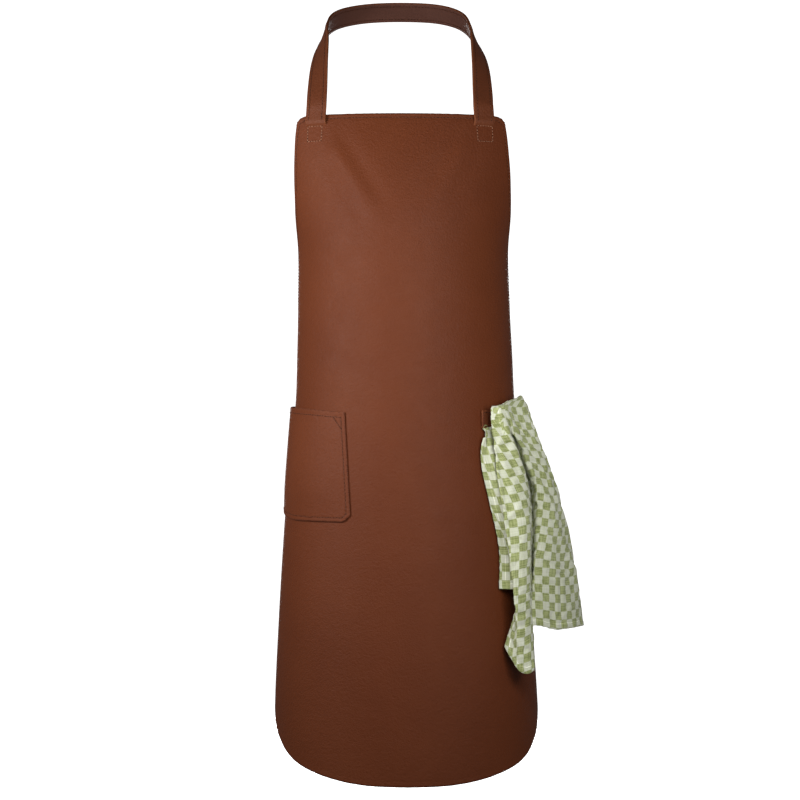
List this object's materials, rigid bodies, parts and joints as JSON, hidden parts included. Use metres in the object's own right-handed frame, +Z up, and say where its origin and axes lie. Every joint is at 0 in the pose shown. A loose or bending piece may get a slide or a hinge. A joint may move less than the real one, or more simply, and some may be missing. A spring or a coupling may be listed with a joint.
{
  "type": "leather bib apron with tea towel",
  "caption": "Full-length leather bib apron, worn shape: neck strap, side pocket, towel loop holding a checked tea towel, and a waist strap that closes behind with press studs.",
  "frame": {"origin": "middle of the neck strap's inner face, where it bears on the neck or on a hook", "axes": "+Z up, +X to the right of a viewer facing the front, the front faces -Y"},
  "size_m": [0.3819, 0.2717, 0.9934],
  "materials": {
    "apron_leather": "satin, fine pebble grain",
    "lining_leather": "matt, smooth",
    "towel_cloth": "woven cotton check, pale and sage green",
    "stud_metal": "aged, satin"
  },
  "bodies": {
    "neck_strap": {"neck_strap_outer": "apron_leather", "neck_strap_lining": "lining_leather"},
    "apron": {"apron_panel": "apron_leather", "neck_strap_left_end": "apron_leather", "neck_strap_right_end": "apron_leather", "side_pocket": "apron_leather", "towel_loop": "apron_leather", "waist_strap_anchor": "apron_leather", "waist_tab": "apron_leather", "press_stud_1_stud": "stud_metal", "press_stud_1_post": "stud_metal", "press_stud_2_stud": "stud_metal", "press_stud_2_post": "stud_metal"},
    "waist_strap": {"waist_strap": "apron_leather", "press_stud_1_cap": "stud_metal", "press_stud_1_socket": "stud_metal", "press_stud_2_cap": "stud_metal", "press_stud_2_socket": "stud_metal"},
    "tea_towel": {"tea_towel": "towel_cloth"}
  },
  "joints": [
    {"name": "panel_swing", "type": "hinge", "parent": "neck_strap", "child": "apron", "pos_m": [0, -0.1675, -0.148], "axis": [-1, 0, 0], "range_deg": [-1, 40]},
    {"name": "waist_strap_swing", "type": "hinge", "parent": "apron", "child": "waist_strap", "pos_m": [-0.1113, -0.0286, -0.462], "axis": [0, 0, 1], "range_deg": [0, 75]},
    {"name": "towel_lift", "type": "slide", "parent": "apron", "child": "tea_towel", "axis": [-0.047, 0.0171, 0.9987], "range_m": [0, 0.195]}
  ]
}
